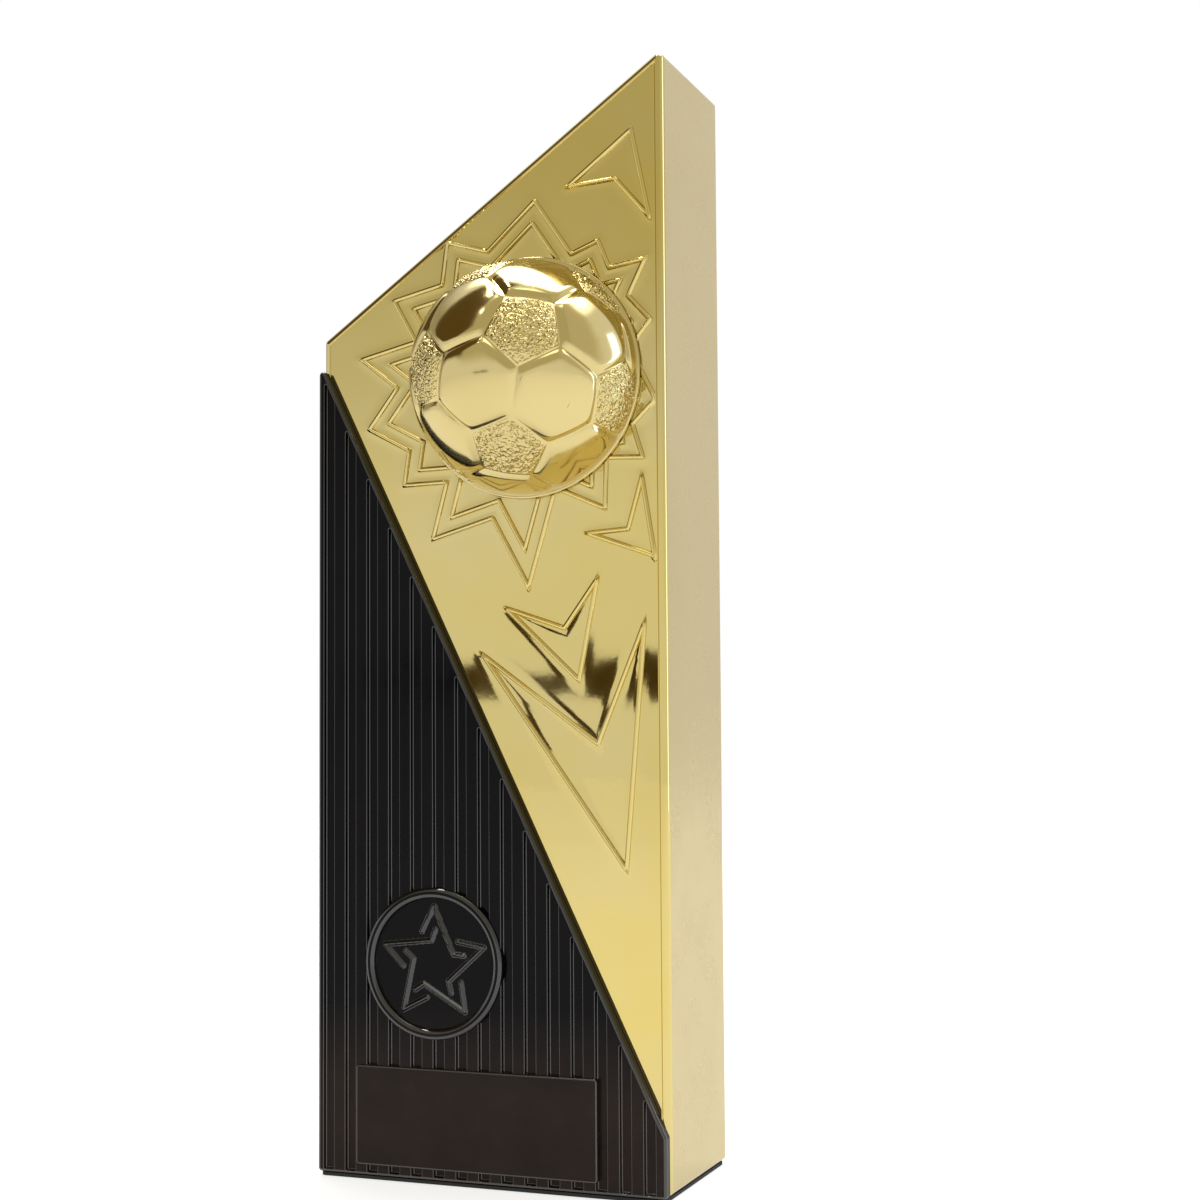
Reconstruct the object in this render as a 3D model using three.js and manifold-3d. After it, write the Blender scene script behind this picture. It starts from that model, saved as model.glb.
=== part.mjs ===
// Star trophy: a tower award of plated plastic with a fluted black cover and a half football.
// Millimetres. +Z is up, +X is to the right and the front looks along -Y.
// The origin is on the underside, at the middle of the tower's plan.

import * as THREE from "three";
import { mergeVertices } from "three/addons/utils/BufferGeometryUtils.js";
import Module from "manifold-3d";

const wasm = await Module();
wasm.setup();

// ---- Driving dimensions ----

const WIDTH = 72;
const DEPTH = 34;
const HEIGHT = 214.9; // at the apex, on the right
const SHOULDER_HEIGHT = 164.3; // where the slanted top meets the left side
const WALL = 2.2;
const EDGE_RADIUS = 0.8; // round-over along the front and rear edges of the tower
const CORNER_RADIUS = 0.85; // round-over of the outline's corners
const FIT = 0.15; // gap between pieces that seat on each other
const PAD_THICKNESS = 0.65;
const BODY_BOTTOM = PAD_THICKNESS + FIT;

// The fluted cover on the lower left of the front
const COVER_TOP = 160.3; // its diagonal edge at the left side
const COVER_END = 11.9; // its diagonal edge at the right side
const COVER_THICKNESS = 1.9;
const COVER_BEVEL = 0.35;
const COVER_TIP_RADIUS = 0.7;
const FLUTE_COUNT = 15;
const FLUTE_PITCH = 4.74;
const FLUTE_WIDTH = 2.2;
const FLUTE_DEPTH = 0.9;
const FIRST_FLUTE = 1.3; // from the left side to the first flute
const COVER_RIM = 0.7; // flat left between the flutes and the diagonal edge
const COVER_LAND = 0.2; // flat left between the flutes and the plate field or the disc
const FLUTE_BOTTOM = BODY_BOTTOM + 0.5;
const PLATE_LEFT = 8.6; // from the left side to the raised field that takes an engraving plate
const PLATE_BOTTOM = 2.9;
const PLATE_WIDTH = 50;
const PLATE_HEIGHT = 19;
const PLATE_STEP = 0.5; // the plate field stands this much above the ribs
const DISC_X = 25.1; // from the left side
const DISC_Z = 41.8;
const DISC_FLAT_RADIUS = 12.5;
const DISC_RING_WIDTH = 2;
const DISC_RING_STEP = 0.75; // the ring stands this much above the ribs
const DISC_FLAT_STEP = -0.3; // the flat inside the ring lies this much below the ribs
const STAR_BEAD = 0.75; // width of the star's raised lines
const STAR_BEAD_HEIGHT = 0.5;
// One of the star's five equal strokes, as [distance from the disc's centre, angle from its tip]
const STAR_STROKE = [[6.6, 23], [11, 0], [4.45, -65.3], [6.5, -74.5]];

// The half football
const BALL_X = 44.2; // from the left side
const BALL_Z = 153.8;
const BALL_RADIUS = 22.5;
const BALL_WALL = 1.8;
const BALL_FLANGE_RADIUS = 23.3;
const BALL_FLANGE_THICKNESS = 0.8;

// Raised lines on the plated front
const BEAD_WIDTH = 1;
const BEAD_HEIGHT = 0.45;
const BEAD_SINK = 0.3; // how far the foot of a raised line goes into the face
const BURST_INSET = 2.8; // distance from the outer burst line to the inner one
const BURST_CLEARANCE = 0.3; // the burst lines stop this far from the ball's flange

// Fastenings
const POST_RADIUS = 2;
const POST_CLEARANCE = 0.3;
const POST_REACH = 3.3; // how far the posts stand out behind the front wall
const BALL_POST_CIRCLE = 15;
const CLIP_RADIUS = 4;
const CLIP_THICKNESS = 0.5;
const CLIP_DISH = 0.7;
const BOSS_RADIUS = 3.5;
const REAR_COVER_THICKNESS = 2;
const REAR_COVER_INSET = 0.2; // the rear cover lies this far inside the tower's rear edge
const SCREW_RADIUS = 1.15;
const SCREW_LENGTH = 11;
const SCREW_HEAD_RADIUS = 2.6;
const SCREW_HEAD_HEIGHT = 1.5;
const SCREW_CLEARANCE = 0.2;

// The weight in the foot
const WEIGHT_WIDTH = 64;
const WEIGHT_DEPTH = 22;
const WEIGHT_HEIGHT = 25;
const FOAM_HEIGHT = 18;

// Places measured from the tower's left side (x) and from its underside (z)
const BURST = [
  [27.4, 181.7], [36.1, 179.1], [46.0, 188.0], [53.5, 177.0], [59.0, 179.1], [61.2, 173.7],
  [68.4, 174.8], [65.0, 168.0], [69.4, 163.2], [65.2, 158.1], [70.3, 148.1], [65.7, 143.6],
  [67.7, 137.3], [60.4, 137.6], [60.1, 128.0], [50.0, 132.4], [44.4, 113.7], [36.9, 127.2],
  [24.2, 123.6], [27.2, 134.6], [18.0, 134.4], [19.1, 141.2], [10.3, 145.9], [16.5, 153.8],
  [8.7, 159.9], [20.6, 162.6], [15.8, 171.1], [26.3, 173.4],
];
const CHEVRONS = [
  [[65.8, 199.7], [52.9, 190.1], [62.5, 190.7], [69.3, 182.8]],
  [[67.5, 133.6], [64.7, 123.9], [56.6, 123.4], [69.9, 118.7]],
  [[58.4, 114.7], [51.7, 105.6], [39.8, 109.6], [54.6, 95.7]],
  [[67.8, 106.2], [58.4, 83.7], [34.8, 100.8], [63.9, 60.4]],
];
const COVER_POSTS = [[7, 125], [7, 72], [32, 72], [56, 34], [7, 16], [65, 8.5]];
const REAR_SCREWS = [[65, 196], [65, 120], [65, 46], [7, 150], [7, 98], [7, 46]];

// ---- Dimensions that follow from them ----

const LEFT = -WIDTH / 2;
const FRONT = -DEPTH / 2;
const BACK = DEPTH / 2;
const COVER_BACK = FRONT - FIT;
const COVER_FACE = COVER_BACK - COVER_THICKNESS;
const COVER_SLOPE = (COVER_END - COVER_TOP) / WIDTH;
const REAR_COVER_OUTER = BACK - REAR_COVER_INSET;
const REAR_COVER_INNER = REAR_COVER_OUTER - REAR_COVER_THICKNESS;
const BOSS_END = REAR_COVER_INNER - FIT;
const WEIGHT_FRONT = FRONT + WALL + 4.3;
const ARC_STEPS = 4; // segments in a rounded corner
const ROUND_SEGMENTS = 16; // segments round a post, boss or screw
const DISC_SEGMENTS = 48; // segments round the star's disc and the football

const GOLD = new THREE.MeshStandardMaterial({ color: 0xd9bf6b, roughness: 0.18, metalness: 1 });
const BLACK_GLOSS = new THREE.MeshStandardMaterial({ color: 0x141316, roughness: 0.2, metalness: 0 });
const BLACK_MATTE = new THREE.MeshStandardMaterial({ color: 0x1b1b1c, roughness: 0.7, metalness: 0 });
const CAST_IRON = new THREE.MeshStandardMaterial({ color: 0x4a4a4c, roughness: 0.6, metalness: 0.8 });
const STEEL = new THREE.MeshStandardMaterial({ color: 0xb8bcc2, roughness: 0.35, metalness: 1 });
const FOAM = new THREE.MeshStandardMaterial({ color: 0x2a2a2c, roughness: 0.95, metalness: 0 });

// ---- Solids ----

// A closed geometry as a solid that can be joined and cut.
function solid(geometry) {
  const bare = geometry.clone();
  bare.deleteAttribute("normal");
  bare.deleteAttribute("uv");
  const merged = mergeVertices(bare, 1e-4);
  const mesh = new wasm.Mesh({
    numProp: 3,
    vertProperties: merged.attributes.position.array,
    triVerts: new Uint32Array(merged.index.array),
  });
  return new wasm.Manifold(mesh);
}

// A solid as a geometry again.
function geometryOf(made) {
  const mesh = made.getMesh();
  const geometry = new THREE.BufferGeometry();
  geometry.setAttribute("position", new THREE.BufferAttribute(new Float32Array(mesh.vertProperties), 3));
  geometry.setIndex(new THREE.BufferAttribute(new Uint32Array(mesh.triVerts), 1));
  geometry.computeVertexNormals();
  return geometry;
}

// A point given from the left side and the underside, as a point of the outline plane.
function place([x, z]) {
  return new THREE.Vector2(LEFT + x, z);
}

// An outline in the X-Z plane pushed out from y = front back to y = back, with its front and
// rear edges rounded by `round` when that is given.
function slab(outline, front, back, holes = [], round = 0) {
  const shape = new THREE.Shape(outline);
  for (const hole of holes) {
    shape.holes.push(new THREE.Path(hole));
  }
  const geometry = new THREE.ExtrudeGeometry(shape, {
    depth: back - front - 2 * round,
    bevelEnabled: round > 0,
    bevelThickness: round,
    bevelSize: round,
    bevelOffset: -round,
    bevelSegments: 3,
  });
  geometry.rotateX(Math.PI / 2);
  geometry.translate(0, back - round, 0);
  return geometry;
}

// A box given by its lowest and highest corners.
function block(low, high) {
  const geometry = new THREE.BoxGeometry(high[0] - low[0], high[1] - low[1], high[2] - low[2]);
  geometry.translate((low[0] + high[0]) / 2, (low[1] + high[1]) / 2, (low[2] + high[2]) / 2);
  return geometry;
}

// A round solid about the Y direction through (x, z). The profile's points are [radius, y].
function turned(profile, x, z, segments = ROUND_SEGMENTS) {
  const points = profile.map(([r, y]) => new THREE.Vector2(r, y));
  const geometry = new THREE.LatheGeometry(points, segments);
  geometry.translate(x, 0, z);
  return geometry;
}

// A plain cylinder along Y through (x, z), from y = front to y = back.
function rod(radius, front, back, x, z, segments = ROUND_SEGMENTS) {
  return turned([[0, front], [radius, front], [radius, back], [0, back]], x, z, segments);
}

// The outline with every corner rounded.
function rounded(outline, radius) {
  const points = [];
  outline.forEach((corner, i) => {
    const before = outline.at(i - 1).clone().sub(corner).normalize();
    const after = outline[(i + 1) % outline.length].clone().sub(corner).normalize();
    const half = Math.acos(before.dot(after)) / 2;
    const middle = before.clone().add(after).normalize();
    const centre = corner.clone().addScaledVector(middle, radius / Math.sin(half));
    const start = corner.clone().addScaledVector(before, radius / Math.tan(half)).sub(centre);
    const turn = Math.PI - 2 * half;
    const sense = Math.sign(before.cross(after)) * -1;
    for (let k = 0; k <= ARC_STEPS; k++) {
      const arm = start.clone().rotateAround(new THREE.Vector2(), (sense * turn * k) / ARC_STEPS);
      points.push(arm.add(centre));
    }
  });
  return points;
}

// The outline moved inwards by a distance, with mitred corners. A negative distance moves it out.
function inset(outline, distance) {
  const inwards = Math.sign(THREE.ShapeUtils.area(outline));
  return outline.map((corner, i) => {
    const before = corner.clone().sub(outline.at(i - 1)).normalize();
    const after = outline[(i + 1) % outline.length].clone().sub(corner).normalize();
    const normalBefore = new THREE.Vector2(-before.y, before.x).multiplyScalar(inwards);
    const normalAfter = new THREE.Vector2(-after.y, after.x).multiplyScalar(inwards);
    const mitre = normalBefore.clone().add(normalAfter);
    return corner.clone().addScaledVector(mitre, distance / (1 + normalBefore.dot(normalAfter)));
  });
}

// A raised line's cross-section: [offset to the side, y], low and rounded, its foot sunk in the face.
function beadSection(width, height, face) {
  return [
    [-width / 2, face + BEAD_SINK],
    [-width / 2, face],
    [-width / 4, face - height],
    [width / 4, face - height],
    [width / 2, face],
    [width / 2, face + BEAD_SINK],
  ];
}

// A raised line that follows a closed outline.
function bead(outline, width, height, face) {
  const loop = THREE.ShapeUtils.isClockWise(outline) ? [...outline].reverse() : outline;
  const section = beadSection(width, height, face);
  const positions = section.flatMap(([offset, y]) => inset(loop, offset).flatMap((p) => [p.x, y, p.y]));
  const count = loop.length;
  const index = [];
  for (let s = 0; s < section.length; s++) {
    const next = (s + 1) % section.length;
    for (let i = 0; i < count; i++) {
      const j = (i + 1) % count;
      index.push(s * count + i, s * count + j, next * count + j);
      index.push(s * count + i, next * count + j, next * count + i);
    }
  }
  const geometry = new THREE.BufferGeometry();
  geometry.setAttribute("position", new THREE.BufferAttribute(new Float32Array(positions), 3));
  geometry.setIndex(index);
  return solid(geometry);
}

// A raised line along an open path: a strip on each side of the path, closed into a thin outline.
function openBead(path, width, height, face) {
  const ends = [path.at(0).clone().sub(path.at(1)), path.at(-1).clone().sub(path.at(-2))];
  const sides = path.map((point, i) => {
    const before = (i > 0 ? point.clone().sub(path[i - 1]) : ends[0].clone().negate()).normalize();
    const after = (i < path.length - 1 ? path[i + 1].clone().sub(point) : ends[1].clone()).normalize();
    const mitre = new THREE.Vector2(-before.y - after.y, before.x + after.x);
    return mitre.multiplyScalar(1 / (1 + before.dot(after)));
  });
  const section = beadSection(width, height, face);
  const positions = [];
  path.forEach((point, i) => {
    for (const [offset, y] of section) {
      const at = point.clone().addScaledVector(sides[i], offset);
      positions.push(at.x, y, at.y);
    }
  });
  const around = section.length;
  const last = (path.length - 1) * around;
  const index = [];
  for (let i = 0; i < path.length - 1; i++) {
    for (let s = 0; s < around; s++) {
      const a = i * around + s;
      const b = i * around + ((s + 1) % around);
      index.push(a, a + around, b + around);
      index.push(a, b + around, b);
    }
  }
  for (let s = 1; s < around - 1; s++) {
    index.push(0, s, s + 1);
    index.push(last, last + s + 1, last + s);
  }
  const geometry = new THREE.BufferGeometry();
  geometry.setAttribute("position", new THREE.BufferAttribute(new Float32Array(positions), 3));
  geometry.setIndex(index);
  return solid(geometry);
}

// ---- The plated tower ----

const towerOutline = [
  new THREE.Vector2(LEFT, BODY_BOTTOM),
  new THREE.Vector2(-LEFT, BODY_BOTTOM),
  new THREE.Vector2(-LEFT, HEIGHT),
  new THREE.Vector2(LEFT, SHOULDER_HEIGHT),
];
const ballCentre = place([BALL_X, BALL_Z]);
const coverPosts = COVER_POSTS.map(place);
const rearScrews = REAR_SCREWS.map(place);
const ballPosts = [0, 1, 2].map((k) => {
  const arm = new THREE.Vector2(0, BALL_POST_CIRCLE);
  return arm.rotateAround(new THREE.Vector2(), (k * 2 * Math.PI) / 3).add(ballCentre);
});

function raisedLines() {
  const burst = BURST.map(place);
  const keepOut = rod(
    BALL_FLANGE_RADIUS + BURST_CLEARANCE,
    FRONT - BEAD_HEIGHT - 1,
    FRONT + BEAD_SINK + 1,
    ballCentre.x,
    ballCentre.y,
    DISC_SEGMENTS,
  );
  let lines = bead(burst, BEAD_WIDTH, BEAD_HEIGHT, FRONT);
  lines = lines.add(bead(inset(burst, BURST_INSET), BEAD_WIDTH, BEAD_HEIGHT, FRONT));
  lines = lines.subtract(solid(keepOut));
  for (const chevron of CHEVRONS) {
    lines = lines.add(bead(chevron.map(place), BEAD_WIDTH, BEAD_HEIGHT, FRONT));
  }
  return lines;
}

function bodyShell() {
  const skin = solid(slab(rounded(towerOutline, CORNER_RADIUS), FRONT, BACK, [], EDGE_RADIUS));
  const cavity = solid(slab(inset(towerOutline, WALL), FRONT + WALL, BACK + 1));
  let shell = skin.subtract(cavity);
  for (const { x, y: z } of rearScrews) {
    shell = shell.add(solid(rod(BOSS_RADIUS, FRONT + WALL - 1, BOSS_END, x, z)));
    shell = shell.subtract(solid(rod(SCREW_RADIUS + SCREW_CLEARANCE, BOSS_END - SCREW_LENGTH, BACK, x, z)));
  }
  for (const { x, y: z } of [...coverPosts, ...ballPosts]) {
    shell = shell.subtract(solid(rod(POST_RADIUS + POST_CLEARANCE, FRONT - 1, FRONT + WALL + 1, x, z)));
  }
  const stopBottom = BODY_BOTTOM + WALL - 1;
  for (const x of [-14, 14]) {
    const stop = block([x - 1, FRONT + WALL - 1, stopBottom], [x + 1, WEIGHT_FRONT - FIT, stopBottom + 18]);
    shell = shell.add(solid(stop));
  }
  return shell.add(raisedLines());
}

// ---- The fluted cover ----

function coverTopAt(x) {
  return COVER_TOP + COVER_SLOPE * x;
}

// The flutes as cutters: upright channels that stop short of the diagonal edge.
function flutes() {
  const rimDrop = COVER_RIM * Math.hypot(1, COVER_SLOPE);
  let all = null;
  for (let i = 0; i < FLUTE_COUNT; i++) {
    const left = FIRST_FLUTE + i * FLUTE_PITCH;
    const right = left + FLUTE_WIDTH;
    const outline = [
      [left, FLUTE_BOTTOM],
      [right, FLUTE_BOTTOM],
      [right, coverTopAt(right) - rimDrop],
      [left, coverTopAt(left) - rimDrop],
    ].map(place);
    const channel = solid(slab(outline, COVER_FACE - 1, COVER_FACE + FLUTE_DEPTH));
    all = all ? all.add(channel) : channel;
  }
  return all;
}

// The star's strokes: each runs in to its tip, down the arm's other side and a little way back out.
function starStrokes() {
  return [0, 1, 2, 3, 4].map((k) =>
    STAR_STROKE.map(([radius, turn]) => {
      const angle = THREE.MathUtils.degToRad(90 + 72 * k + turn);
      return place([DISC_X + radius * Math.cos(angle), DISC_Z + radius * Math.sin(angle)]);
    }),
  );
}

function flutedCover() {
  const outline = [[0, BODY_BOTTOM], [WIDTH, BODY_BOTTOM], [WIDTH, COVER_END], [0, COVER_TOP]].map(place);
  const disc = place([DISC_X, DISC_Z]);
  const ringRadius = DISC_FLAT_RADIUS + DISC_RING_WIDTH;
  const ringFace = COVER_FACE - DISC_RING_STEP;
  const flatFace = COVER_FACE - DISC_FLAT_STEP;
  const low = place([PLATE_LEFT, PLATE_BOTTOM]);
  const high = place([PLATE_LEFT + PLATE_WIDTH, PLATE_BOTTOM + PLATE_HEIGHT]);

  const discBlank = rod(ringRadius + COVER_LAND, COVER_FACE - 2, COVER_BACK, disc.x, disc.y, DISC_SEGMENTS);
  const plateBlank = block(
    [low.x - COVER_LAND, COVER_FACE - 2, low.y - COVER_LAND],
    [high.x + COVER_LAND, COVER_BACK, high.y + COVER_LAND],
  );
  const channels = flutes().subtract(solid(discBlank)).subtract(solid(plateBlank));
  // The rounded rear edge of the blank is trimmed off, so the cover seats flat.
  const blank = solid(
    slab(rounded(outline, COVER_TIP_RADIUS), COVER_FACE, COVER_BACK + 2 * COVER_BEVEL, [], COVER_BEVEL),
  );
  const behind = solid(block([LEFT - 1, COVER_BACK, -1], [-LEFT + 1, COVER_BACK + 2, HEIGHT]));
  let cover = blank.subtract(behind).subtract(channels);

  const plate = block([low.x, COVER_FACE - PLATE_STEP, low.y], [high.x, COVER_FACE + 1, high.y]);
  cover = cover.add(solid(plate));
  const dish = rod(DISC_FLAT_RADIUS + 0.5, COVER_FACE - 2, flatFace, disc.x, disc.y, DISC_SEGMENTS);
  cover = cover.subtract(solid(dish));
  const ringProfile = [
    [DISC_FLAT_RADIUS, flatFace + 0.5],
    [ringRadius, flatFace + 0.5],
    [ringRadius, COVER_FACE],
    [ringRadius - 0.5, ringFace],
    [DISC_FLAT_RADIUS + 0.5, ringFace],
    [DISC_FLAT_RADIUS, COVER_FACE],
    [DISC_FLAT_RADIUS, flatFace + 0.5],
  ];
  cover = cover.add(solid(turned(ringProfile.reverse(), disc.x, disc.y, DISC_SEGMENTS)));
  for (const stroke of starStrokes()) {
    cover = cover.add(openBead(stroke, STAR_BEAD, STAR_BEAD_HEIGHT, flatFace));
  }
  for (const { x, y: z } of coverPosts) {
    cover = cover.add(solid(rod(POST_RADIUS, COVER_BACK - 0.5, FRONT + WALL + POST_REACH, x, z)));
  }
  return cover;
}

// ---- The half football ----

function footballDome() {
  const base = FRONT - FIT;
  const arc = (radius, from, to, steps) => {
    const points = [];
    for (let k = 0; k <= steps; k++) {
      const angle = from + ((to - from) * k) / steps;
      points.push([radius * Math.cos(angle), base - radius * Math.sin(angle)]);
    }
    return points;
  };
  const flangeAngle = Math.asin(BALL_FLANGE_THICKNESS / BALL_RADIUS);
  const outer = arc(BALL_RADIUS, Math.PI / 2, flangeAngle, 12);
  const inner = arc(BALL_RADIUS - BALL_WALL, 0, Math.PI / 2, 9);
  outer[0][0] = 0;
  inner.at(-1)[0] = 0;
  const profile = [
    ...outer,
    [BALL_FLANGE_RADIUS, base - BALL_FLANGE_THICKNESS],
    [BALL_FLANGE_RADIUS, base],
    ...inner,
  ];
  let dome = solid(turned(profile, ballCentre.x, ballCentre.y, DISC_SEGMENTS));
  const rise = Math.sqrt((BALL_RADIUS - BALL_WALL / 2) ** 2 - BALL_POST_CIRCLE ** 2);
  for (const { x, y: z } of ballPosts) {
    dome = dome.add(solid(rod(POST_RADIUS, base - rise + 0.6, FRONT + WALL + POST_REACH, x, z)));
  }
  return dome;
}

// ---- Rear cover, weight, pad and fastenings ----

function rearCover() {
  const outline = inset(towerOutline, WALL + FIT);
  let cover = solid(slab(rounded(outline, CORNER_RADIUS), REAR_COVER_INNER, REAR_COVER_OUTER));
  for (const { x, y: z } of rearScrews) {
    const hole = [
      [0, REAR_COVER_INNER - 1],
      [SCREW_RADIUS + SCREW_CLEARANCE, REAR_COVER_INNER - 1],
      [SCREW_RADIUS + SCREW_CLEARANCE, REAR_COVER_OUTER - SCREW_HEAD_HEIGHT - FIT],
      [SCREW_HEAD_RADIUS + SCREW_CLEARANCE, REAR_COVER_OUTER - FIT],
      [SCREW_HEAD_RADIUS + SCREW_CLEARANCE, REAR_COVER_OUTER + 1],
      [0, REAR_COVER_OUTER + 1],
    ];
    cover = cover.subtract(solid(turned(hole, x, z)));
  }
  return cover;
}

// A countersunk screw with a cross recess, its head level with the rear cover.
function screw(x, z) {
  const headFace = REAR_COVER_OUTER - FIT / 2;
  const profile = [
    [0, headFace - SCREW_LENGTH],
    [SCREW_RADIUS * 0.45, headFace - SCREW_LENGTH],
    [SCREW_RADIUS, headFace - SCREW_LENGTH + 1.6],
    [SCREW_RADIUS, headFace - SCREW_HEAD_HEIGHT],
    [SCREW_HEAD_RADIUS, headFace],
    [0, headFace],
  ];
  let made = solid(turned(profile, x, z));
  for (const [halfX, halfZ] of [[1.5, 0.32], [0.32, 1.5]]) {
    made = made.subtract(solid(block([x - halfX, headFace - 0.8, z - halfZ], [x + halfX, headFace + 1, z + halfZ])));
  }
  return made;
}

// A dished push-on clip that grips a post behind the front wall.
function clip(x, z) {
  const seat = FRONT + WALL + FIT;
  const bore = POST_RADIUS + POST_CLEARANCE / 2;
  const profile = [
    [bore, seat + CLIP_DISH],
    [bore, seat + CLIP_DISH + CLIP_THICKNESS],
    [CLIP_RADIUS, seat + CLIP_THICKNESS],
    [CLIP_RADIUS, seat],
    [bore, seat + CLIP_DISH],
  ];
  return solid(turned(profile.reverse(), x, z));
}

function baseWeight() {
  const low = [-WEIGHT_WIDTH / 2, WEIGHT_FRONT, BODY_BOTTOM + WALL + FIT];
  const high = [WEIGHT_WIDTH / 2, WEIGHT_FRONT + WEIGHT_DEPTH, low[2] + WEIGHT_HEIGHT];
  const outline = [[low[0], low[2]], [high[0], low[2]], [high[0], high[2]], [low[0], high[2]]];
  const corners = outline.map(([x, z]) => new THREE.Vector2(x, z));
  return solid(slab(rounded(corners, 1.5), low[1], high[1], [], 0.8));
}

function weightFoam() {
  const bottom = BODY_BOTTOM + WALL + FIT + 3;
  return solid(
    block(
      [-WEIGHT_WIDTH / 2 + 4, WEIGHT_FRONT + WEIGHT_DEPTH + FIT, bottom],
      [WEIGHT_WIDTH / 2 - 4, REAR_COVER_INNER - FIT, bottom + FOAM_HEIGHT],
    ),
  );
}

function basePad() {
  const side = -LEFT - 0.4;
  const front = COVER_FACE + 0.3;
  const back = BACK - 0.4;
  const outline = [[-side, front], [side, front], [side, back], [-side, back]];
  const corners = rounded(outline.map(([x, y]) => new THREE.Vector2(x, y)), 1.2);
  return solid(new THREE.ExtrudeGeometry(new THREE.Shape(corners), { depth: PAD_THICKNESS, bevelEnabled: false }));
}

// ---- The assembly ----

const trophy = new THREE.Group();

function piece(name, made, material) {
  const mesh = new THREE.Mesh(geometryOf(made), material);
  mesh.name = name;
  trophy.add(mesh);
}

piece("body_shell", bodyShell(), GOLD);
piece("fluted_cover", flutedCover(), BLACK_GLOSS);
piece("football_dome", footballDome(), GOLD);
piece("rear_cover", rearCover(), BLACK_MATTE);
piece("base_weight", baseWeight(), CAST_IRON);
piece("weight_foam", weightFoam(), FOAM);
piece("base_pad", basePad(), FOAM);
rearScrews.forEach(({ x, y: z }, i) => piece(`rear_screw_${i + 1}`, screw(x, z), STEEL));
coverPosts.forEach(({ x, y: z }, i) => piece(`cover_clip_${i + 1}`, clip(x, z), STEEL));
ballPosts.forEach(({ x, y: z }, i) => piece(`football_clip_${i + 1}`, clip(x, z), STEEL));

export default trophy;
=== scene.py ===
"""Looks of the star trophy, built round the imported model.

Metres in the scene, +Z up, the front looks along -Y. Shapes are worked out in millimetres, with places given
from the tower's left side (x) and its underside (z), and turned into metres when a mesh is made.
"""

import math

import bmesh
import bpy
import numpy as np
from mathutils import Matrix, Vector, noise
from mathutils.geometry import delaunay_2d_cdt


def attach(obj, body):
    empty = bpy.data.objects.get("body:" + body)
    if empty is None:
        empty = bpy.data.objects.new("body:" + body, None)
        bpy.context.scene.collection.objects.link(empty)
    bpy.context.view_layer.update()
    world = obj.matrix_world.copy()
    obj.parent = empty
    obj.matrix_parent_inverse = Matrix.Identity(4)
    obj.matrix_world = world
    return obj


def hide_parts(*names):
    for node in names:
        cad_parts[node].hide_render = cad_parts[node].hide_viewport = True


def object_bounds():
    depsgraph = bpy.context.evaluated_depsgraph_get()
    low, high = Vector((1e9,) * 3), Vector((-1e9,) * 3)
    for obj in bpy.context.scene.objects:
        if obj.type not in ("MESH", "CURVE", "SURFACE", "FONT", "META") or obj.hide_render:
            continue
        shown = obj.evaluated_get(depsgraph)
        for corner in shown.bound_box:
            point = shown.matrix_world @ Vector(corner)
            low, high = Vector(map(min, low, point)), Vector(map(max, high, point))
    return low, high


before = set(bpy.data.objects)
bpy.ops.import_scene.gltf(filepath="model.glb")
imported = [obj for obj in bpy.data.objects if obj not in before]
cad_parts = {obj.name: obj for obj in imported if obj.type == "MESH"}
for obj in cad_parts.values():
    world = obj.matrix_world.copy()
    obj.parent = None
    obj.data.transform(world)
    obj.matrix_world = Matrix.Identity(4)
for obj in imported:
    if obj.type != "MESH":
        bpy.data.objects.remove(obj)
cad_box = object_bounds()
MM = 0.001

# ---- Dimensions, as in the CAD model, in millimetres ----

WIDTH, HEIGHT, SHOULDER, WALL = 72.0, 214.9, 164.3, 2.2
FRONT, BACK, BOTTOM = -17.0, 17.0, 0.8
EDGE_RADIUS, CORNER_RADIUS = 0.8, 0.95
SHARPEST_CORNER, CORNER_STEPS, SIDE_SPACING = 0.12, 10, 3.0
FRONT_RADIUS, GROOVE = 1.3, 0.16
FRONT_RIM = FRONT_RADIUS + 2 * GROOVE
FIT = 0.15

COVER_TOP, COVER_END, COVER_THICKNESS = 160.3, 11.9, 1.9
COVER_BACK = FRONT - FIT
COVER_FACE = COVER_BACK - COVER_THICKNESS
FLUTE_FIRST, FLUTE_PITCH, FLUTE_WIDTH, FLUTE_DEPTH, FLUTE_COUNT = 1.3, 4.74, 2.2, 0.9, 15
PLATE_LEFT, PLATE_BOTTOM, PLATE_WIDTH, PLATE_HEIGHT, PLATE_STEP = 8.6, 2.9, 50.0, 19.0, 0.5
DISC_X, DISC_Z, DISC_FLAT, DISC_RING, DISC_STEP, DISC_SINK = 25.1, 41.8, 12.5, 14.5, 0.75, 0.3
POST_RADIUS, POST_END = 2.0, FRONT + WALL + 3.3

BALL_X, BALL_Z, BALL_RADIUS, BALL_WALL, BALL_FLANGE = 44.2, 153.8, 22.5, 1.8, 23.3

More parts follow.
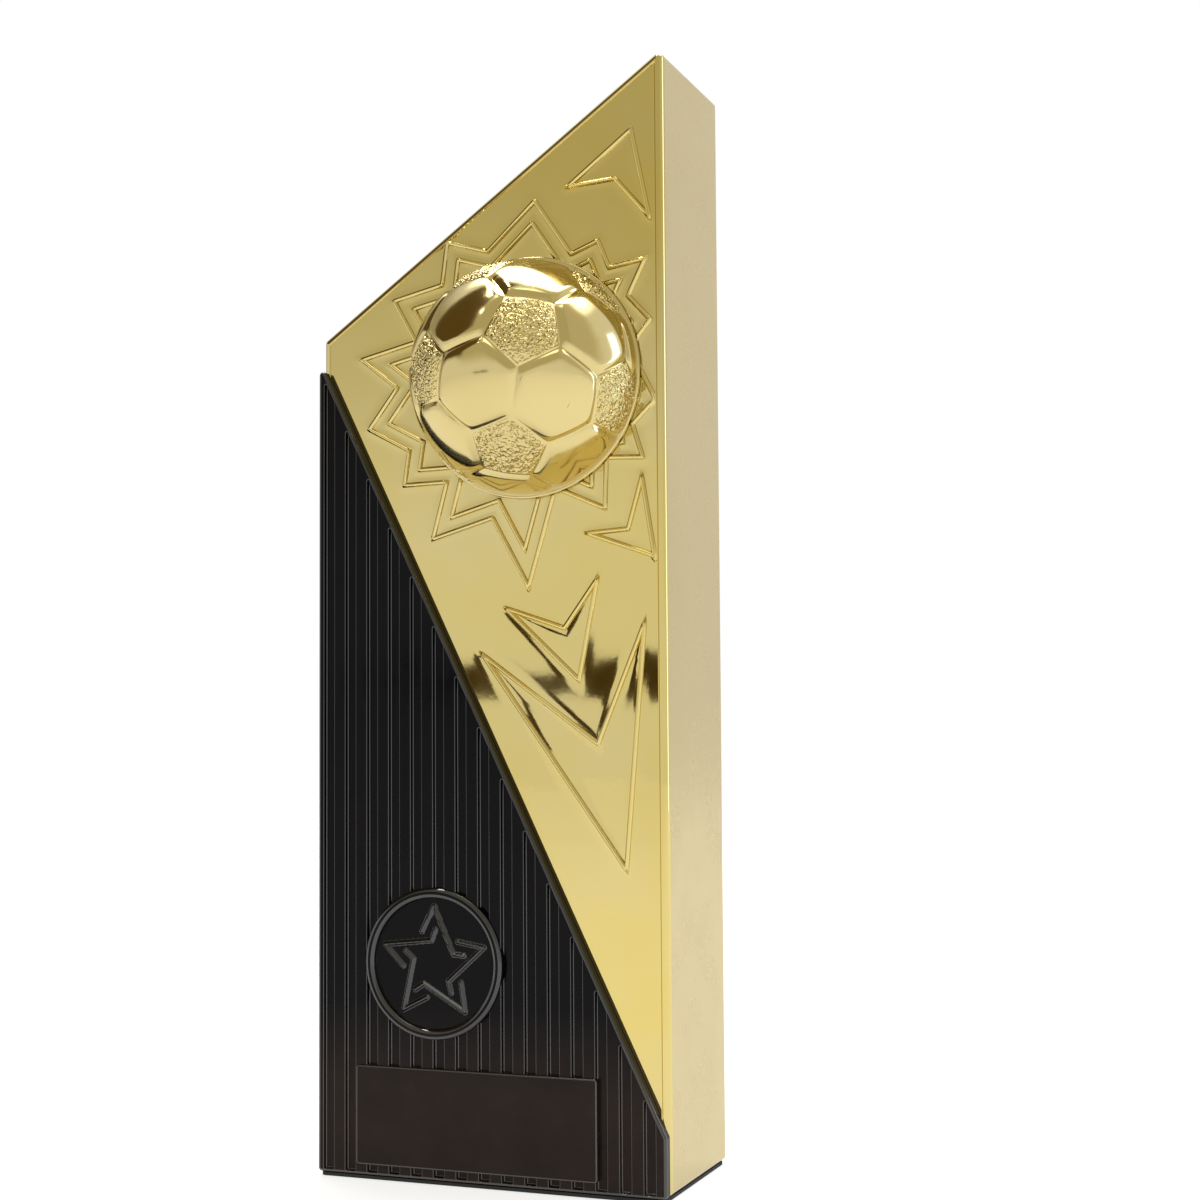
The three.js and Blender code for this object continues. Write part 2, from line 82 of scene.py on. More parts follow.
BURST = [
    (27.4, 181.7), (36.1, 179.1), (46.0, 188.0), (53.5, 177.0), (59.0, 179.1), (61.2, 173.7),
    (68.4, 174.8), (65.0, 168.0), (69.4, 163.2), (65.2, 158.1), (70.3, 148.1), (65.7, 143.6),
    (67.7, 137.3), (60.4, 137.6), (60.1, 128.0), (50.0, 132.4), (44.4, 113.7), (36.9, 127.2),
    (24.2, 123.6), (27.2, 134.6), (18.0, 134.4), (19.1, 141.2), (10.3, 145.9), (16.5, 153.8),
    (8.7, 159.9), (20.6, 162.6), (15.8, 171.1), (26.3, 173.4),
]
BURST_INSET = 2.8
CHEVRONS = [
    [(65.8, 199.7), (52.9, 190.1), (62.5, 190.7), (69.3, 182.8)],
    [(67.5, 133.6), (64.7, 123.9), (56.6, 123.4), (69.9, 118.7)],
    [(58.4, 114.7), (51.7, 105.6), (39.8, 109.6), (54.6, 95.7)],
    [(67.8, 106.2), (58.4, 83.7), (34.8, 100.8), (63.9, 60.4)],
]
STAR_STROKE = [(6.6, 23), (11.0, 0), (4.45, -65.3), (6.5, -74.5)]
COVER_POSTS = [(7, 125), (7, 72), (32, 72), (56, 34), (7, 16), (65, 8.5)]
REAR_SCREWS = [(65, 196), (65, 120), (65, 46), (7, 150), (7, 98), (7, 46)]
BALL_POST_CIRCLE = 15
BALL_POSTS = [
    (BALL_X + BALL_POST_CIRCLE * math.cos(a), BALL_Z + BALL_POST_CIRCLE * math.sin(a))
    for a in (math.radians(90), math.radians(210), math.radians(330))
]
REAR_OUTER = BACK - 0.2
REAR_INNER = REAR_OUTER - 2.0
BOSS_END = REAR_INNER - FIT
BOSS_RADIUS, PILOT_RADIUS, PILOT_DEPTH, POST_HOLE = 3.5, 1.35, 11, 2.3


# ---- Outlines ----


def outline(points):
    """A closed loop, anticlockwise, about the frame's origin."""
    loop = np.array(points, float) - [WIDTH / 2, 0]
    following = np.roll(loop, -1, 0)
    area = (loop[:, 0] * following[:, 1] - following[:, 0] * loop[:, 1]).sum()
    return loop if area > 0 else loop[::-1].copy()


def inset(loop, distance):
    """The loop moved inwards by a distance, with mitred corners."""
    before = loop - np.roll(loop, 1, 0)
    after = np.roll(loop, -1, 0) - loop
    before /= np.linalg.norm(before, axis=1)[:, None]
    after /= np.linalg.norm(after, axis=1)[:, None]
    a = np.c_[-before[:, 1], before[:, 0]]
    b = np.c_[-after[:, 1], after[:, 0]]
    return loop + (a + b) * (distance / (1 + (a * b).sum(1)))[:, None]


def rounded(loop, radius, steps=8):
    """The loop with rounded corners."""
    corners = []
    for i, corner in enumerate(loop):
        before = loop[i - 1] - corner
        after = loop[(i + 1) % len(loop)] - corner
        before /= np.linalg.norm(before)
        after /= np.linalg.norm(after)
        half = math.acos(np.clip(before @ after, -1, 1)) / 2
        middle = (before + after) / np.linalg.norm(before + after)
        centre = corner + middle * radius / math.sin(half)
        start = corner + before * radius / math.tan(half) - centre
        turn = math.pi - 2 * half
        sense = 1 if before[0] * after[1] - before[1] * after[0] < 0 else -1
        arc = []
        for k in range(steps + 1):
            a = sense * turn * k / steps
            arc.append(centre + [start[0] * math.cos(a) - start[1] * math.sin(a),
                                 start[0] * math.sin(a) + start[1] * math.cos(a)])
        corners.append(np.array(arc))
    return np.concatenate(corners)


def circle(x, z, radius, count):
    a = np.linspace(0, 2 * math.pi, count, endpoint=False)
    return np.c_[x - WIDTH / 2 + radius * np.cos(a), z + radius * np.sin(a)]


def at_depth(loop, y):
    """An outline's points in space, at that y."""
    return np.c_[loop[:, 0], np.full(len(loop), y), loop[:, 1]]


def quarter(steps):
    """Angles from nothing to a right angle."""
    return [math.pi / 2 * k / steps for k in range(steps + 1)]


def round_front(shape, radius, face, steps):
    """Outlines that round a solid's front edge, from its face at that y to its full outline."""
    return [
        at_depth(inset(shape, radius * (1 - math.sin(a))), face + radius * (1 - math.cos(a)))
        for a in quarter(steps)
    ]


def round_rear(shape, radius, face, steps):
    """Outlines that round a solid's rear edge, from its full outline to its face at that y."""
    return [
        at_depth(inset(shape, radius * (1 - math.cos(a))), face - radius * (1 - math.sin(a)))
        for a in quarter(steps)
    ]


def smoothstep(low, high, value):
    t = np.clip((value - low) / (high - low), 0, 1)
    return t * t * (3 - 2 * t)


# ---- Meshes ----


def in_scene(mesh):
    """The mesh as an object in the scene."""
    made = bpy.data.objects.new(mesh.name, mesh)
    bpy.context.scene.collection.objects.link(made)
    return made


def new_object(name, vertices, faces):
    mesh = bpy.data.meshes.new(name)
    mesh.from_pydata((np.asarray(vertices) * MM).tolist(), [], faces)
    return in_scene(mesh)


def finished(name, work):
    """A mesh of the work done so far, which is used up."""
    mesh = bpy.data.meshes.new(name)
    work.to_mesh(mesh)
    work.free()
    return mesh


def loft(name, loops):
    """A closed solid through loops of the same number of points, from the front one to the rear one."""
    count = len(loops[0])
    faces = [list(range(count))]
    for k in range(len(loops) - 1):
        for i in range(count):
            j = (i + 1) % count
            faces.append([k * count + i, (k + 1) * count + i, (k + 1) * count + j, k * count + j])
    last = (len(loops) - 1) * count
    faces.append([last + i for i in reversed(range(count))])
    return new_object(name, np.concatenate(loops), faces)


def lathe(name, profile, x, z, segments=64):
    """A closed solid of revolution along Y. The profile is a closed list of (radius, y), front to rear on its
    outer side. A profile that starts and ends on the axis gets single points there."""
    on_axis = profile[0][0] == 0
    ring = profile[1:-1] if on_axis else profile
    vertices, faces = [], []
    for k in range(segments):
        a = 2 * math.pi * k / segments
        for r, y in ring:
            vertices.append((x - WIDTH / 2 + r * math.cos(a), y, z + r * math.sin(a)))
    n = len(ring)
    for k in range(segments):
        here, there = k * n, ((k + 1) % segments) * n
        for i in range(n if not on_axis else n - 1):
            j = (i + 1) % n
            faces.append([here + i, here + j, there + j, there + i])
    if on_axis:
        front, back = len(vertices), len(vertices) + 1
        vertices.append((x - WIDTH / 2, profile[0][1], z))
        vertices.append((x - WIDTH / 2, profile[-1][1], z))
        for k in range(segments):
            here, there = k * n, ((k + 1) % segments) * n
            faces.append([front, here, there])
            faces.append([back, there + n - 1, here + n - 1])
    return new_object(name, vertices, faces)


def rod(radius, front, back, x, z, segments=48):
    return lathe("rod", [(0, front), (radius, front), (radius, back), (0, back)], x, z, segments)


def rectangle(a, b, c, d):
    """The outline from (a, b) to the opposite corner (c, d)."""
    return np.array([(a, b), (c, b), (c, d), (a, d)], float)


def box(low, high):
    loop = rectangle(low[0], low[2], high[0], high[2])
    return loft("box", [at_depth(loop, low[1]), at_depth(loop, high[1])])


def combine(made, tools, how):
    """Joins or cuts a solid with other solids, which are used up."""
    for tool in tools:
        for o in (made, tool):
            repair(o)
        change = made.modifiers.new("combine", "BOOLEAN")
        change.solver = "MANIFOLD"
        change.operation = how
        change.object = tool
        depsgraph = bpy.context.evaluated_depsgraph_get()
        mesh = bpy.data.meshes.new_from_object(made.evaluated_get(depsgraph))
        if not mesh.polygons:
            raise RuntimeError(f"{how} left nothing of {made.name}")
        made.modifiers.clear()
        made.data = mesh
        bpy.data.objects.remove(tool)


def repair(made):
    """Turns all faces outwards, once for each object."""
    if made.get("of_sound"):
        return
    work = bmesh.new()
    work.from_mesh(made.data)
    bmesh.ops.recalc_face_normals(work, faces=work.faces)
    work.to_mesh(made.data)
    work.free()
    made["of_sound"] = True


def join(name, parts):
    """Several solids that don't touch, as one mesh."""
    work = bmesh.new()
    for part in parts:
        repair(part)
        work.from_mesh(part.data)
        bpy.data.objects.remove(part)
    return in_scene(finished(name, work))


def finish_piece(made, name, nodes, materials, sharp=35, pick=None, weighted=True):
    """Smooth shading with crisp corners, materials, and the piece's place in the frame."""
    made.name = made.data.name = name
    mesh = made.data
    work = bmesh.new()
    work.from_mesh(mesh)
    bmesh.ops.remove_doubles(work, verts=work.verts, dist=1e-8)
    bmesh.ops.dissolve_degenerate(work, edges=work.edges, dist=1e-8)
    bmesh.ops.recalc_face_normals(work, faces=work.faces)
    bmesh.ops.triangulate(work, faces=[f for f in work.faces if len(f.verts) > 4])
    work.to_mesh(mesh)
    work.free()
    mesh.materials.clear()
    for material in materials:
        mesh.materials.append(material)
    for polygon in mesh.polygons:
        polygon.use_smooth = True
        polygon.material_index = pick(polygon) if pick else 0
    mesh.set_sharp_from_angle(angle=math.radians(sharp))
    if weighted:
        even = made.modifiers.new("normals", "WEIGHTED_NORMAL")
        even.keep_sharp = True
        even.weight = 100
    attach(made, "root")
    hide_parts(*nodes)


# ---- Materials ----

# The black cover's painted reflection of the warm floor, a brown tint, is full up to the first height and
# gone from the second, in metres.
FLOOR_GLOW_FULL, FLOOR_GLOW_GONE = 0.018, 0.034
BALL_GOLD = (0.60, 0.49, 0.215), (0.64, 0.525, 0.24)


class Surface:
    """A material, with short ways to its procedural nodes."""

    def __init__(self, name):
        self.material = bpy.data.materials.new(name)
        self.material.use_nodes = True
        self.tree = self.material.node_tree
        self.shader = self.tree.nodes["Principled BSDF"]

    def pattern(self, scale, detail=3.0, stretch=(1, 1, 1), kind="ShaderNodeTexNoise"):
        """A texture in the object's own coordinates."""
        place = self.tree.nodes.new("ShaderNodeTexCoord")
        mapping = self.tree.nodes.new("ShaderNodeMapping")
        mapping.inputs["Scale"].default_value = stretch
        self.tree.links.new(place.outputs["Object"], mapping.inputs["Vector"])
        texture = self.tree.nodes.new(kind)
        texture.inputs["Scale"].default_value = scale
        texture.inputs["Detail"].default_value = detail
        self.tree.links.new(mapping.outputs["Vector"], texture.inputs["Vector"])
        return texture

    def ramp(self, source, low, high, start=0.3, end=0.7):
        """The source's range from start to end, spread from low to high."""
        node = self.tree.nodes.new("ShaderNodeMapRange")
        node.inputs["From Min"].default_value = start
        node.inputs["From Max"].default_value = end
        node.inputs["To Min"].default_value = low
        node.inputs["To Max"].default_value = high
        self.tree.links.new(source, node.inputs["Value"])
        return node.outputs["Result"]

    def blend(self, factor, first, second):
        """A mix of two colours, each given as three numbers or as another node's output."""
        node = self.tree.nodes.new("ShaderNodeMix")
        node.data_type = "RGBA"
        self.tree.links.new(factor, node.inputs[0])
        for socket, colour in ((node.inputs[6], first), (node.inputs[7], second)):
            if isinstance(colour, tuple):
                socket.default_value = (*colour, 1)
            else:
                self.tree.links.new(colour, socket)
        return node.outputs[2]

    def bump(self, *layers):
        """Bumps of (height output, distance in metres), one on top of the other."""
        normal = None
        for height, distance in layers:
            node = self.tree.nodes.new("ShaderNodeBump")
            node.inputs["Strength"].default_value = 1.0
            node.inputs["Distance"].default_value = distance
            self.tree.links.new(height, node.inputs["Height"])
            if normal is not None:
                self.tree.links.new(normal, node.inputs["Normal"])
            normal = node.outputs["Normal"]
        self.link(normal, "Normal")

    def link(self, output, socket):
        self.tree.links.new(output, self.shader.inputs[socket])


def gold_plate(name, first, second, roughness, wave, grain, pebble=0.0):
    """Bright gold plating on moulded plastic: the moulding's slow waves under fine orange peel, and leather
    grain where a height is given for it."""
    surface = Surface(name)
    surface.shader.inputs["Metallic"].default_value = 1.0
    slow = surface.pattern(38, 2.0).outputs["Fac"]
    fine = surface.pattern(900, 4.0).outputs["Fac"]
    smear = surface.pattern(120, 3.0).outputs["Fac"]
    surface.link(surface.blend(surface.ramp(slow, 0, 1), first, second), "Base Color")
    surface.link(surface.ramp(smear, *roughness), "Roughness")
    layers = [(slow, wave), (fine, grain)]
    if pebble:
        leather = surface.pattern(1500, 1.0, kind="ShaderNodeTexVoronoi")
        leather.feature = "SMOOTH_F1"
        layers.append((surface.ramp(leather.outputs["Distance"], 1, 0, 0.0, 0.8), pebble))
    surface.bump(*layers)
    return surface.material


def black_gloss(name, level, index, roughness):
    """Polished black plastic with faint handling haze, and a painted brown reflection of the warm floor
    towards the bottom. The rounded edges take a higher polish than the broad faces, so they are smoother,
    with a higher specular level and index."""
    surface = Surface(name)
    haze = surface.pattern(160, 4.0).outputs["Fac"]
    fine = surface.pattern(1500, 3.0).outputs["Fac"]
    slow = surface.pattern(60, 2.0).outputs["Fac"]
    place = surface.tree.nodes.new("ShaderNodeTexCoord")
    split = surface.tree.nodes.new("ShaderNodeSeparateXYZ")
    surface.tree.links.new(place.outputs["Object"], split.inputs[0])
    # Painted reflection: a mask that is full at the bottom of the cover and gone higher up, for a brown tint
    # of the warm floor.
    floor_glow_mask = surface.ramp(split.outputs["Z"], 1, 0, FLOOR_GLOW_FULL, FLOOR_GLOW_GONE)
    cloud = surface.ramp(haze, 0, 1)
    upper = surface.blend(cloud, (0.0020, 0.0015, 0.0022), (0.0032, 0.0024, 0.0032))
    # Painted reflection of the warm floor: a brown tint that takes the place of the plain black low on the
    # cover.
    floor_glow_tint = surface.blend(cloud, (0.0175, 0.0115, 0.0102), (0.023, 0.0155, 0.0132))
    surface.link(surface.blend(floor_glow_mask, upper, floor_glow_tint), "Base Color")
    surface.link(surface.ramp(haze, *roughness), "Roughness")
    surface.shader.inputs["Specular IOR Level"].default_value = level
    surface.shader.inputs["IOR"].default_value = index
    surface.bump((slow, 2e-5), (fine, 2e-6))
    return surface.material


def black_matte(name):
    """Spark-textured black plastic."""
    surface = Surface(name)
    spark = surface.pattern(1400, 5.0).outputs["Fac"]
    cloud = surface.ramp(surface.pattern(60, 3.0).outputs["Fac"], 0, 1)
    surface.link(surface.blend(cloud, (0.016, 0.016, 0.017), (0.026, 0.025, 0.026)), "Base Color")
    surface.link(surface.ramp(spark, 0.45, 0.68), "Roughness")
    surface.bump((spark, 4e-5))
    return surface.material


def cast_metal(name):
    """Sand-cast metal, dull and pitted."""
    surface = Surface(name)
    surface.shader.inputs["Metallic"].default_value = 0.85
    sand = surface.pattern(700, 6.0).outputs["Fac"]
    stain = surface.ramp(surface.pattern(70, 4.0).outputs["Fac"], 0, 1)
    pits = surface.pattern(260, 1.0, kind="ShaderNodeTexVoronoi").outputs["Distance"]
    surface.link(surface.blend(stain, (0.13, 0.125, 0.12), (0.25, 0.24, 0.235)), "Base Color")
    surface.link(surface.ramp(sand, 0.45, 0.75), "Roughness")
    surface.bump((pits, 6e-5), (sand, 8e-5))
    return surface.material


def zinc_steel(name):
    """Turned steel with bright zinc: fine marks round the axis and slightly iridescent clouds."""
    surface = Surface(name)
    surface.shader.inputs["Metallic"].default_value = 1.0
    cloud = surface.pattern(500, 3.0).outputs["Fac"]
    marks = surface.pattern(900, 2.0, stretch=(1, 8, 1)).outputs["Fac"]
    tint = surface.blend(surface.ramp(cloud, 0, 1), (0.56, 0.58, 0.62), (0.72, 0.71, 0.67))
    surface.link(tint, "Base Color")
    surface.link(surface.ramp(cloud, 0.22, 0.4), "Roughness")
    surface.bump((marks, 8e-6))
    return surface.material


def foam(name):
    """Closed-cell foam: small round cells over soft clouds."""
    surface = Surface(name)
    cells = surface.pattern(1900, 1.0, kind="ShaderNodeTexVoronoi").outputs["Distance"]
    cloud = surface.pattern(140, 3.0).outputs["Fac"]
    tint = surface.blend(surface.ramp(cloud, 0, 1), (0.012, 0.012, 0.013), (0.024, 0.024, 0.026))
    surface.link(tint, "Base Color")
    surface.link(surface.ramp(cloud, 0.8, 0.95), "Roughness")
    surface.bump((cells, 1.2e-4))
    return surface.material


GOLD_MIRROR = gold_plate(
    "gold_mirror", (0.645, 0.513, 0.17), (0.637, 0.532, 0.237), (0.025, 0.05), 8e-5, 8e-7,
)
# The satin for the sides is rougher, which is a real finish. Its darker base colour is painted shade.
GOLD_SATIN_SHADED = gold_plate(
    "gold_satin_shaded", (0.50, 0.398, 0.177), (0.525, 0.418, 0.192), (0.22, 0.3), 4e-5, 2e-7,
)
GOLD_BALL = gold_plate("gold_ball", *BALL_GOLD, (0.09, 0.15), 1.5e-5, 1.2e-6)
GOLD_PEBBLE = gold_plate("gold_pebble", *BALL_GOLD, (0.08, 0.14), 1.5e-5, 1.2e-6, 2.8e-4)
BLACK_GLOSS = black_gloss("black_gloss", 0.09, 1.5, (0.08, 0.16))
BLACK_EDGE = black_gloss("black_edge", 0.6, 1.65, (0.03, 0.06))
BLACK_MATTE = black_matte("black_matte")
CAST_METAL = cast_metal("cast_metal")
ZINC_STEEL = zinc_steel("zinc_steel")
FOAM = foam("foam")


# ---- Faces with raised lines ----

BEAD_HEIGHT, BEAD_HALF = 0.55, 0.52
HALO_HEIGHT, HALO_REACH = 0.045, 1.1
BEAD_POWER = 0.85
LINE_OFFSETS = (0.0, 0.1, 0.2, 0.3, 0.39, 0.46, 0.52, 0.62, 0.85, 1.2, 1.7, 2.5)
NEAR_SPACING, FAR_SPACING = 0.9, 1.8
BALL_RINGS = (23.15, 23.35, 23.6)
LINES_FROM_BALL, LINES_FROM_TOP, LINES_FADE = 22.6, 2.2, 23.1


def distance_to(lines, points):
    """How far each point is from the nearest of the lines' segments."""
    nearest = np.full(len(points), 1e9)
    for line in lines:
        for a, b in zip(line[:-1], line[1:]):
            along = b - a
            t = np.clip(((points - a) @ along) / (along @ along), 0, 1)
            nearest = np.minimum(nearest, np.linalg.norm(points - a - t[:, None] * along, axis=1))
    return nearest


def relief_face(boundary, rows, loose, height):
    """A face inside a boundary, through rows of points and loose ones. Gives its points, their heights, its
    triangles and which points the boundary became."""
    points = [Vector(p) for p in boundary]
    edges = []
    for row in rows:
        first = len(points)
        points += [Vector(p) for p in row]
        edges += [(first + i, first + i + 1) for i in range(len(row) - 1)]
    points += [Vector(p) for p in loose]
    made = delaunay_2d_cdt(points, edges, [list(range(len(boundary)))], 1, 1e-4)
    flat = np.array([v[:] for v in made[0]])
    order = {}
    for i, origins in enumerate(made[3]):
        for origin in origins:
            if origin < len(boundary):
                order[origin] = i
    rim = [order[i] for i in range(len(boundary))]
    return flat, height(flat), [list(f) for f in made[2]], rim


def line_rows(loops, allowed):
    """Rows of points beside closed loops, at every offset on both sides, where they are allowed."""
    rows = []
    for loop in loops:
        for offset in LINE_OFFSETS:
            spacing = NEAR_SPACING if offset < 1 else FAR_SPACING
            for side in (1, -1) if offset else (1,):
                moved = inset(loop, side * offset)
                points = []
                for a, b in zip(moved, np.roll(moved, -1, 0)):
                    count = max(1, round(np.linalg.norm(b - a) / spacing))
                    points.append(a + (b - a) * (np.arange(count) / count)[:, None])
                points = np.concatenate([*points, moved[:1]])
                keep = allowed(points)
                row = []
                for point, good in zip(points, keep):
                    if good:
                        row.append(point)
                        continue
                    if len(row) > 1:
                        rows.append(row)
                    row = []
                if len(row) > 1:
                    rows.append(row)
    return rows


# ---- The gold tower ----

EDGE_STEPS = 8
STOP_PLACE, STOP_DEPTH, STOP_HEIGHT = 14, 4.15, 17
tower = outline([(0, BOTTOM), (WIDTH, BOTTOM), (WIDTH, HEIGHT), (0, SHOULDER)])
burst = outline(BURST)
line_loops = [burst, inset(burst, BURST_INSET)] + [outline(c) for c in CHEVRONS]
closed_lines = [np.concatenate([loop, loop[:1]]) for loop in line_loops]
ball_centre = np.array([BALL_X - WIDTH / 2, BALL_Z])


def front_height(points):
    """How far the tower's front stands out: beads on soft swells, and flat at the ball and the rim."""
    away = distance_to(closed_lines, points)
    bead = BEAD_HEIGHT * (1 - np.clip(away / BEAD_HALF, 0, 1) ** 2) ** BEAD_POWER
    halo = HALO_HEIGHT * np.exp(-((away / HALO_REACH) ** 2))
    from_ball = np.linalg.norm(points - ball_centre, axis=1)
    land = WIDTH / 2 - FRONT_RIM
    from_edge = np.minimum(land - points[:, 0], points[:, 0] + land)
    return (bead + halo) * smoothstep(LINES_FADE, BALL_RINGS[-1], from_ball) * smoothstep(0, 0.5, from_edge)


def tower_loop(distance):
    """The tower's outline that far inside its sides, with rounded corners, always with as many points."""
    corners = rounded(inset(tower, distance), max(CORNER_RADIUS - distance, SHARPEST_CORNER), CORNER_STEPS)
    arcs = corners.reshape(len(tower), -1, 2)
    points = []
    for arc, following, side in zip(arcs, np.roll(arcs, -1, 0), np.roll(tower, -1, 0) - tower):
        count = round(np.linalg.norm(side) / SIDE_SPACING)
        share = (np.arange(1, count) / count)[:, None]
        points += [arc, arc[-1] + (following[0] - arc[-1]) * share]
    return np.concatenate(points)


def lines_allowed(points):
    """Where the rows beside the raised lines may run: clear of the rim and of the ball."""
    slope = (HEIGHT - SHOULDER) / WIDTH
    top = SHOULDER + slope * (points[:, 0] + WIDTH / 2)
    within = np.abs(points[:, 0]) < WIDTH / 2 - FRONT_RIM - 0.1
    below = points[:, 1] < top - LINES_FROM_TOP
    return within & below & (np.linalg.norm(points - ball_centre, axis=1) > LINES_FROM_BALL)


def tower_skin():
    """The tower as a closed solid: front with raised lines, grooved round edge, sides and rear."""
    rim = tower_loop(FRONT_RIM)
    rings = [circle(BALL_X, BALL_Z, r, 160) for r in BALL_RINGS]
    rows = line_rows(line_loops, lines_allowed)
    rows += [np.concatenate([ring, ring[:1]]) for ring in rings]
    flat, heights, faces, previous = relief_face(rim, rows, [], front_height)
    vertices = [np.c_[flat[:, 0], FRONT - heights, flat[:, 1]]]
    # A fine groove, the round edge, a second groove on the side, and the round rear edge.
    loops = [
        at_depth(tower_loop(FRONT_RADIUS + GROOVE), FRONT + GROOVE),
        at_depth(tower_loop(FRONT_RADIUS), FRONT),
    ]
    for a in quarter(EDGE_STEPS)[1:]:
        depth = FRONT + FRONT_RADIUS * (1 - math.cos(a))
        loops.append(at_depth(tower_loop(FRONT_RADIUS * (1 - math.sin(a))), depth))
    loops.append(at_depth(tower_loop(GROOVE), FRONT + FRONT_RADIUS + GROOVE))
    loops.append(at_depth(tower_loop(0), FRONT + FRONT_RIM))
    for a in quarter(EDGE_STEPS):
        depth = BACK - EDGE_RADIUS * (1 - math.sin(a))
        loops.append(at_depth(tower_loop(EDGE_RADIUS * (1 - math.cos(a))), depth))
    first, count = len(flat), len(rim)
    for k, loop in enumerate(loops):
        vertices.append(loop)
        current = [first + k * count + i for i in range(count)]
        for i in range(count):
            j = (i + 1) % count
            faces.append([previous[i], current[i], current[j], previous[j]])
        previous = current
    faces.append(previous[::-1])
    return new_object("body", np.concatenate(vertices), faces)


def gold_tower():
    body = tower_skin()
    cavity = inset(tower, WALL)
    hollow = loft("cavity", [at_depth(cavity, FRONT + WALL), at_depth(cavity, BACK + 1)])
    combine(body, [hollow], "DIFFERENCE")
    # The bosses and the weight's stop ribs reach 1 mm into the walls that carry them.
    inside, floor = FRONT + WALL, BOTTOM + WALL
    bosses = [rod(BOSS_RADIUS, inside - 1, BOSS_END, x, z) for x, z in REAR_SCREWS]
    stops = [
        box((x - 1, inside - 1, floor - 1), (x + 1, inside + STOP_DEPTH, floor + STOP_HEIGHT))
        for x in (-STOP_PLACE, STOP_PLACE)
    ]
    combine(body, [join("bosses", bosses + stops)], "UNION")
    holes = [rod(PILOT_RADIUS, BOSS_END - PILOT_DEPTH, BACK, x, z) for x, z in REAR_SCREWS]
    holes += [rod(POST_HOLE, FRONT - 1, inside + 1, x, z) for x, z in COVER_POSTS + BALL_POSTS]
    combine(body, [join("holes", holes)], "DIFFERENCE")

    def pick(polygon):
        """The sides are satin, which is rougher, and their darker base colour is painted shade. The front,
        the rear and the rounded edges are mirror bright.
        """
        return 1 if abs(polygon.normal.y) < 0.02 else 0

    finish_piece(body, "gold_tower", ["body_shell"], [GOLD_MIRROR, GOLD_SATIN_SHADED], 40, pick)


# ---- The fluted cover ----

COVER_CORNER, COVER_EDGE = 0.75, 0.55
FLUTE_CORNER, FLUTE_EDGE, FLUTE_FLOOR, FLUTE_CLEAR = 0.25, 0.16, 0.3, 0.7
STROKE_HEIGHT, STROKE_HALF = 0.5, 0.58
STROKE_GRID = 0.13


def cover_top(x):
    return COVER_TOP + (COVER_END - COVER_TOP) / WIDTH * x


def flute(index):
    """The cutter of one flute: a channel with a rounded floor and softened edges."""
    left = FLUTE_FIRST + index * FLUTE_PITCH
    right = left + FLUTE_WIDTH
    drop = FLUTE_CLEAR * math.hypot(1, (COVER_END - COVER_TOP) / WIDTH)
    corners = outline([
        (left, BOTTOM + 0.6), (right, BOTTOM + 0.6),
        (right, cover_top(right) - drop), (left, cover_top(left) - drop),
    ])
    shape = rounded(corners, FLUTE_CORNER, 4)
    loops = [at_depth(inset(shape, -FLUTE_EDGE), COVER_FACE - 0.5)]
    for a in quarter(4):
        flare = -FLUTE_EDGE * (1 - math.sin(a))
        loops.append(at_depth(inset(shape, flare), COVER_FACE + FLUTE_EDGE * (1 - math.cos(a))))
    for a in quarter(4):
        # The floor's rounding stops just short of the corners' radius.
        narrowing = min(FLUTE_FLOOR * (1 - math.cos(a)), FLUTE_CORNER - 0.01)
        loops.append(at_depth(
            inset(shape, narrowing), COVER_FACE + FLUTE_DEPTH - FLUTE_FLOOR * (1 - math.sin(a)),
        ))
    return loft("flute", loops)


def pad():
    """The raised field for an engraving plate, with rounded edges."""
    right, top = PLATE_LEFT + PLATE_WIDTH, PLATE_BOTTOM + PLATE_HEIGHT
    shape = rounded(outline(rectangle(PLATE_LEFT, PLATE_BOTTOM, right, top)), 0.6)
    loops = round_front(shape, 0.3, COVER_FACE - PLATE_STEP, 5)
    return loft("pad", [*loops, at_depth(shape, COVER_BACK - 0.6)])


def disc():
    """The star disc: a rounded ring round a sunk flat that carries the star's five strokes."""
    flat_y = COVER_FACE + DISC_SINK
    profile = [(0, flat_y), (DISC_FLAT - 0.1, flat_y)]
    middle, half = (DISC_FLAT + DISC_RING) / 2, (DISC_RING - DISC_FLAT) / 2
    # The ring's section starts 0.1 mm under the cover's face and is a little fuller than half an ellipse.
    for k in range(13):
        a = math.pi * k / 12
        rise = (DISC_STEP + 0.1) * math.sin(a) ** 0.8
        profile.append((middle - half * math.cos(a), COVER_FACE + 0.1 - rise))
    profile += [(DISC_RING, COVER_BACK - 0.6), (0, COVER_BACK - 0.6)]
    return lathe("disc", profile, DISC_X, DISC_Z, 144)


